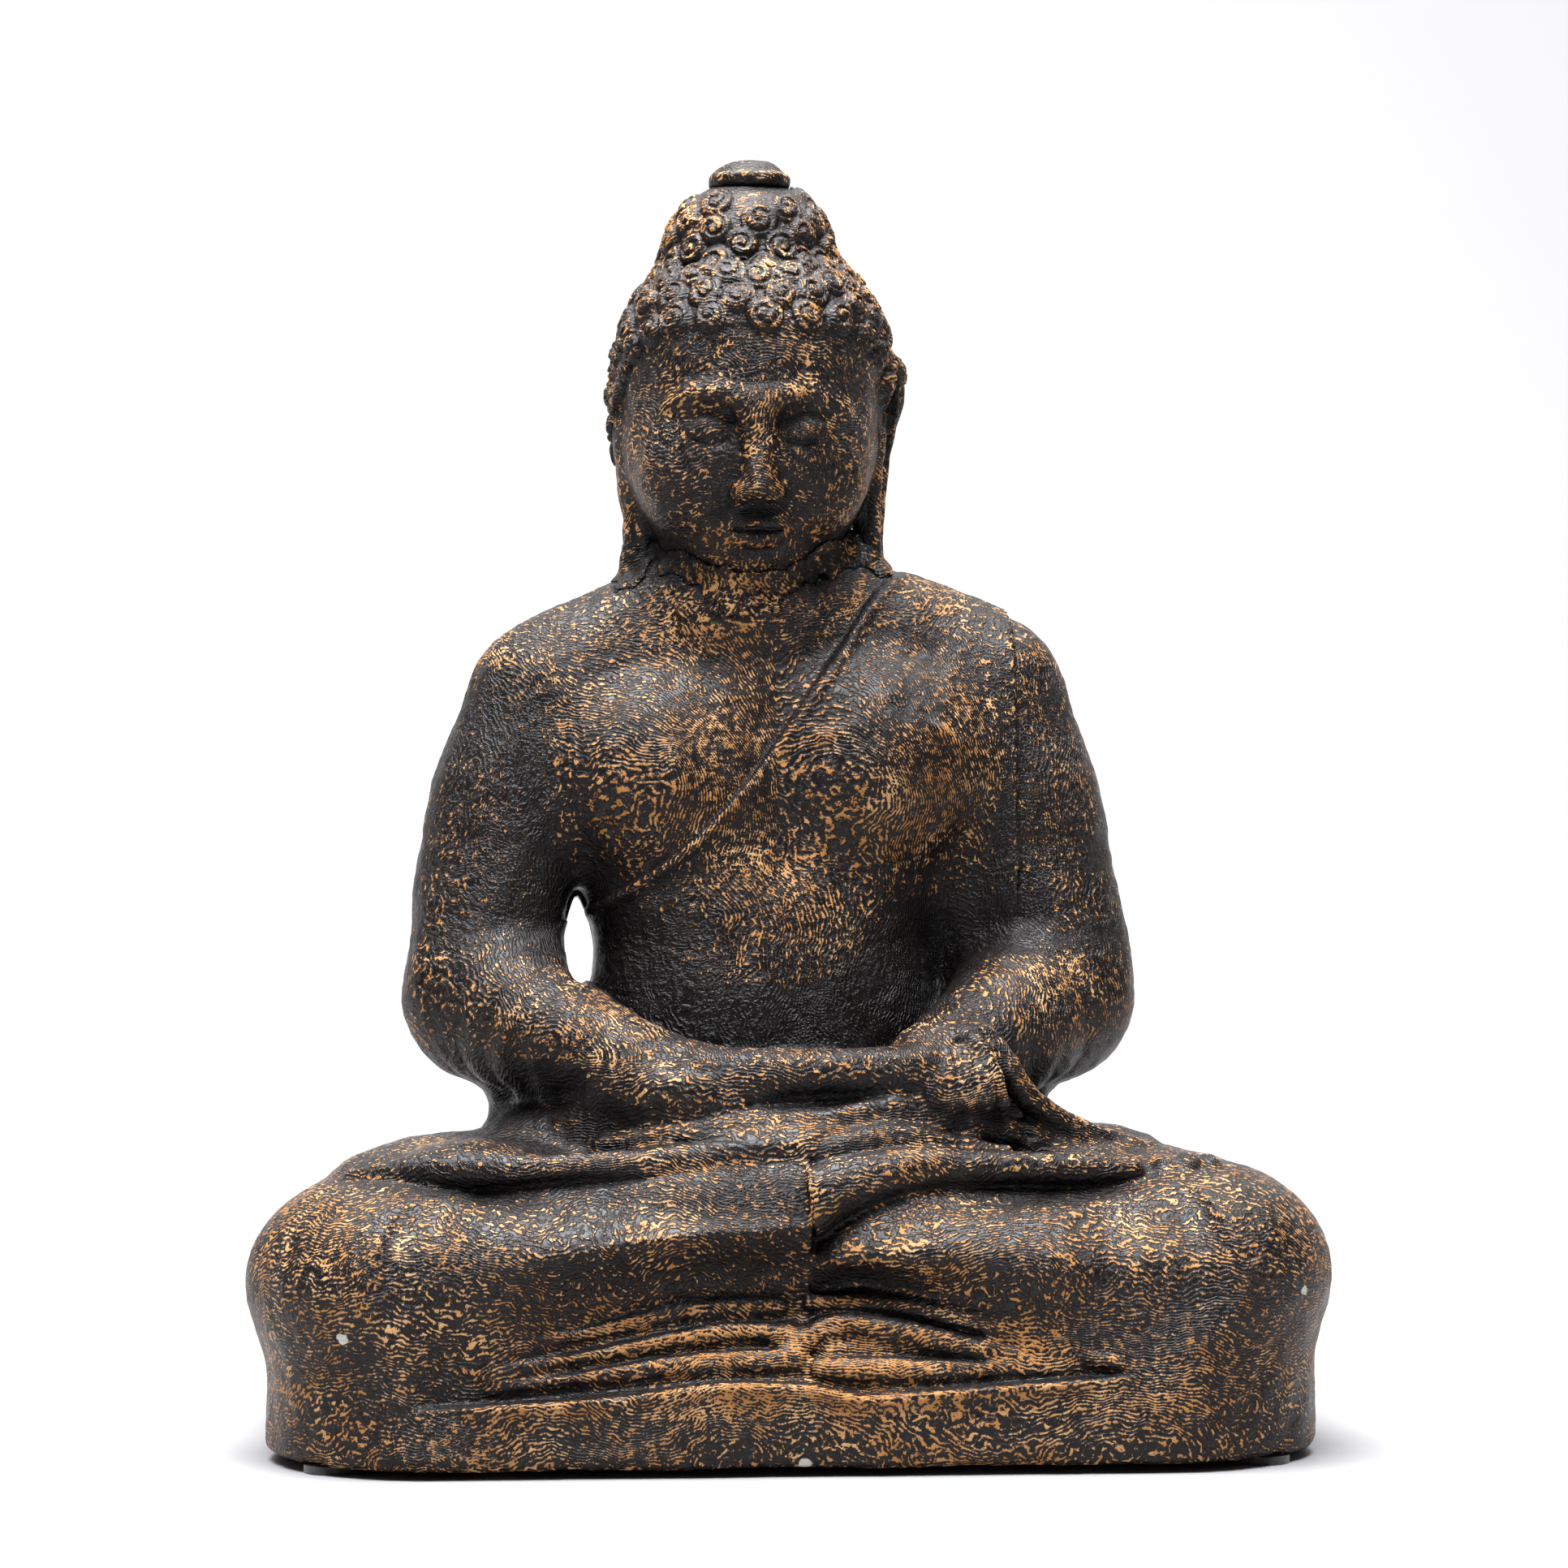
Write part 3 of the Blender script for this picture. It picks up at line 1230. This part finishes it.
def painted_cement(name):
    """Near-black satin paint with ochre dry-brushed over the marks of the first brush."""
    nodes = Nodes(name)
    ridges = strokes(nodes)
    over = nodes.minus(ridges, bareness(nodes))
    specks = nodes.noise(nodes.place, 1100, detail=2)
    over = nodes.plus(over, nodes.times(nodes.minus(specks, 0.5), 1.6))
    paint = nodes.ramp(over, -0.05, 0.12)
    rubbed = nodes.ramp(over, -0.9, 0.1)
    ground = nodes.mix(nodes.ramp(nodes.attribute("sunk"), 0.1, 0.6), BLACK, DEEP)
    ground = nodes.mix(nodes.times(rubbed, 0.35), ground, UMBER)
    tint = nodes.noise(nodes.place, 60, detail=2)
    ochre = nodes.mix(nodes.ramp(tint, 0.4, 0.75), OCHRE, PALE_OCHRE)
    colour = nodes.mix(nodes.times(paint, 0.9), ground, ochre)
    chips(nodes, colour)
    gloss = nodes.noise(nodes.place, 90, detail=3)
    rough = nodes.ramp(gloss, 0.3, 0.7, 0.30, 0.44)
    rough = nodes.plus(rough, nodes.times(paint, 0.14))
    nodes.surface("Roughness", rough)
    nodes.surface("Specular IOR Level", 0.3)
    fine = nodes.noise(nodes.place, 900, detail=3, rough=0.6)
    grain = nodes.bump(fine, 0.00018, 0.5)
    marks = nodes.bump(nodes.ramp(ridges, -0.5, 1.0), 0.00042, 0.9, under=grain)
    nodes.surface("Normal", marks)
    return nodes.material


def chips(nodes, colour):
    """Bare cement showing where the paint has been knocked off, at a few fixed spots."""
    for spot, size in CHIPS:
        away = nodes.measure("DISTANCE", nodes.place, [c * MM for c in spot])
        wander = nodes.times(nodes.noise(nodes.place, 420, detail=2), size * MM)
        worn = nodes.plus(away, wander)
        amount = nodes.ramp(worn, size * 1.25 * MM, size * 1.1 * MM)
        colour = nodes.mix(amount, colour, linear(214, 210, 200))
    nodes.surface("Base Color", colour)


CHIPS = (
    ((-168, -105, 52), 4.0),
    ((187, -93, 65), 3.0),
    ((0, -112, 5), 3.6),
)


def plain_cement(name, pale, dark, bump=0.0006, scale=180):
    """Bare cement or mortar: sandy, mottled, with pinholes."""
    nodes = Nodes(name)
    mottle = nodes.noise(nodes.place, 45, detail=4, rough=0.6)
    sand = nodes.noise(nodes.place, scale * 6, detail=3, rough=0.7)
    colour = nodes.mix(nodes.ramp(mottle, 0.3, 0.7), pale, dark)
    colour = nodes.mix(nodes.ramp(sand, 0.55, 0.75), colour, dark)
    nodes.surface("Base Color", colour)
    nodes.surface("Roughness", nodes.ramp(sand, 0.3, 0.7, 0.82, 0.95))
    coarse = nodes.bump(nodes.noise(nodes.place, scale, detail=4, rough=0.7), bump, 0.8)
    nodes.surface("Normal", nodes.bump(sand, bump / 3, 0.6, under=coarse))
    return nodes.material


def rusty_steel(name):
    """Mild steel bar with a thin bloom of rust."""
    nodes = Nodes(name)
    bloom = nodes.noise(nodes.place, 140, detail=4, rough=0.65)
    rust = nodes.ramp(bloom, 0.42, 0.62)
    colour = nodes.mix(rust, linear(120, 118, 116), linear(112, 62, 36))
    nodes.surface("Base Color", colour)
    nodes.surface("Metallic", nodes.minus(1.0, rust))
    nodes.surface("Roughness", nodes.ramp(bloom, 0.3, 0.7, 0.38, 0.8))
    nodes.surface("Normal", nodes.bump(bloom, 0.0003, 0.6))
    return nodes.material


def pressed_felt(name):
    """Dark grey felt: matted fibres with a soft nap."""
    nodes = Nodes(name)
    matted = nodes.vector("MULTIPLY", nodes.place, (1, 1, 0.4))
    fibres = nodes.noise(matted, 1600, detail=3, rough=0.7, distort=1.5)
    colour = nodes.mix(nodes.ramp(fibres, 0.35, 0.65), linear(38, 36, 35), linear(74, 71, 68))
    nodes.surface("Base Color", colour)
    nodes.surface("Roughness", 0.95)
    nodes.surface("Sheen Weight", 0.3)
    nodes.surface("Normal", nodes.bump(fibres, 0.0003, 0.8))
    return nodes.material


def dress(node, material):
    """Gives a carried-over CAD node its material."""
    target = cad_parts[node]
    mesh = target.data
    if not mesh.materials:
        mesh.materials.append(material)
    for slot in target.material_slots:
        slot.link = "OBJECT"
        slot.material = material


# ---- pieces


def finish_piece(piece, node, slot, material, points):
    """Stores a piece's wear, paints it, and puts it in the place of its CAD node."""
    add_wear(piece, whole_figure, points)
    add_brush(piece, points)
    piece.data.materials.append(material)
    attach(piece, "root")
    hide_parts(node)


def whole_figure(points):
    """The closed outside of the body, head and knob together, for judging folds and edges."""
    distance = body_field(points, closed=True)
    near = np.flatnonzero(((points > head_low - 24) & (points < head_high + 24)).all(1))
    around = points[near]
    head = np.minimum(head_field(around), knob_field(around))
    distance[near] = mortared(around, distance[near], head)
    return distance


def make_body(material):
    """The two halves of the body, meshed from one sampled field and parted at the mould line."""
    low = front_low - 4
    high = np.array([front_high[0], rear_high[1], front_high[2]]) + 4
    values = sampled(body_field, low, high, BODY_STEP)
    depth = low[1] + np.arange(values.shape[1]) * BODY_STEP
    sides = (("cast_body_front", "body_front_shell", -1), ("cast_body_rear", "body_rear_shell", 1))
    for name, node, side in sides:
        beyond = side * (PARTING - depth) + GAP
        half = np.maximum(values, beyond[None, :, None].astype(np.float32))
        vertices, quads = surface_net(half, low, BODY_STEP)
        vertices = settled(half_body(side), vertices, BODY_STEP)
        piece = mesh_object(name, vertices, quads)
        finish_piece(piece, node, "painted_cement", material, vertices)


def make_small(name, node, slot, field, low, high, step, material):
    piece, points = sculpted(name, field, low, high, step)
    finish_piece(piece, node, slot, material, points)


def make_pieces():
    paint = painted_cement("dry_brushed_paint")
    make_body(paint)
    head = ("cast_head", "head_casting", "painted_cement", head_field)
    make_small(*head, head_low - (3, 12, 3), head_high + 3, HEAD_STEP, paint)
    knob = ("cast_knob", "crown_finial", "painted_cement", knob_field)
    make_small(*knob, knob_low - 2, knob_high + 2, SMALL_STEP, paint)
    collar = ("mortar_collar", "neck_mortar_collar", "painted_mortar", collar_field)
    make_small(*collar, collar_low - (18, 18, 2), collar_high + (18, 18, 10), SMALL_STEP, paint)
    cement = plain_cement("bare_cement", linear(168, 164, 156), linear(132, 127, 120))
    mortar = plain_cement("bare_mortar", linear(150, 146, 139), linear(116, 111, 104), 0.0009, 120)
    steel = rusty_steel("reinforcing_steel")
    felt = pressed_felt("felt")
    dress("base_slab", cement)
    dress("seam_band", mortar)
    dress("dowel_grout", mortar)
    for bar in ("neck_dowel", "rim_hoop", "right_arm_rod", "left_arm_rod"):
        dress(bar, steel)
    dress("foot_pads", felt)


# ---- stage, light and camera


def make_stage():
    """A plain pale floor that sweeps up into a backdrop."""
    mesh = bpy.data.meshes.new("sweep")
    run, tall, radius, back = 6.0, 4.0, 1.2, 2.2
    profile = [(-run, 0.0)]
    for i in range(17):
        turn = math.radians(90 * i / 16)
        profile.append((back - radius + radius * math.sin(turn), radius - radius * math.cos(turn)))
    profile.append((back, tall))
    vertices = [(side * run, y, z) for side in (-1, 1) for y, z in profile]
    count = len(profile)
    faces = [(i, i + count, i + count + 1, i + 1) for i in range(count - 1)]
    mesh.from_pydata(vertices, [], faces)
    mesh.shade_smooth()
    floor = bpy.data.objects.new("sweep", mesh)
    bpy.context.collection.objects.link(floor)
    nodes = Nodes("white_sweep")
    nodes.surface("Base Color", (0.36, 0.357, 0.359, 1))
    nodes.surface("Roughness", 0.7)
    nodes.surface("Specular IOR Level", 0.2)
    mesh.materials.append(nodes.material)


def area_light(name, place, target, size, power, colour=(1, 1, 1)):
    """A rectangular lamp, aimed at a target. Metres and watts."""
    light = bpy.data.lights.new(name, "AREA")
    light.shape = "RECTANGLE"
    light.size, light.size_y = size
    light.energy = power
    light.color = colour
    lamp = bpy.data.objects.new(name, light)
    bpy.context.collection.objects.link(lamp)
    lamp.location = place
    aim = Vector(target) - Vector(place)
    lamp.rotation_euler = aim.to_track_quat("-Z", "Y").to_euler()


def make_light():
    world = bpy.data.worlds.new("studio")
    bpy.context.scene.world = world
    world.use_nodes = True
    sky = world.node_tree.nodes["Background"]
    sky.inputs["Color"].default_value = (0.97, 0.97, 1.0, 1)
    sky.inputs["Strength"].default_value = 0.035
    area_light("overhead", (-0.15, -0.34, 1.8), (0, 0, 0.2), (1.5, 1.0), 120, (0.95, 0.96, 1.0))
    area_light("left_box", (-1.9, -1.0, 1.4), (0, 0, 0.25), (0.8, 1.2), 2)
    area_light("right_box", (1.9, -1.0, 1.4), (0, 0, 0.25), (0.8, 1.2), 2)
    area_light("backdrop_wash", (0, 0.9, 2.6), (0, 2.2, 0.6), (4.0, 0.8), 150)


CAMERA_HEIGHT = 253.5    # millimetres, like the distance
CAMERA_DISTANCE = 1750.0
CAMERA_YAW = math.radians(4)
LENS = 102.9


def make_camera():
    data = bpy.data.cameras.new("camera")
    data.lens = LENS
    data.sensor_width = 36
    data.clip_end = 50
    camera = bpy.data.objects.new("camera", data)
    bpy.context.collection.objects.link(camera)
    camera.location = (
        -CAMERA_DISTANCE * math.sin(CAMERA_YAW) * MM,
        -CAMERA_DISTANCE * math.cos(CAMERA_YAW) * MM,
        CAMERA_HEIGHT * MM,
    )
    camera.rotation_euler = (math.radians(90), 0, -CAMERA_YAW)
    bpy.context.scene.camera = camera


make_camera()
make_stage()
make_light()
make_pieces()
bpy.context.scene.view_settings.view_transform = "Standard"

bpy.context.view_layer.update()
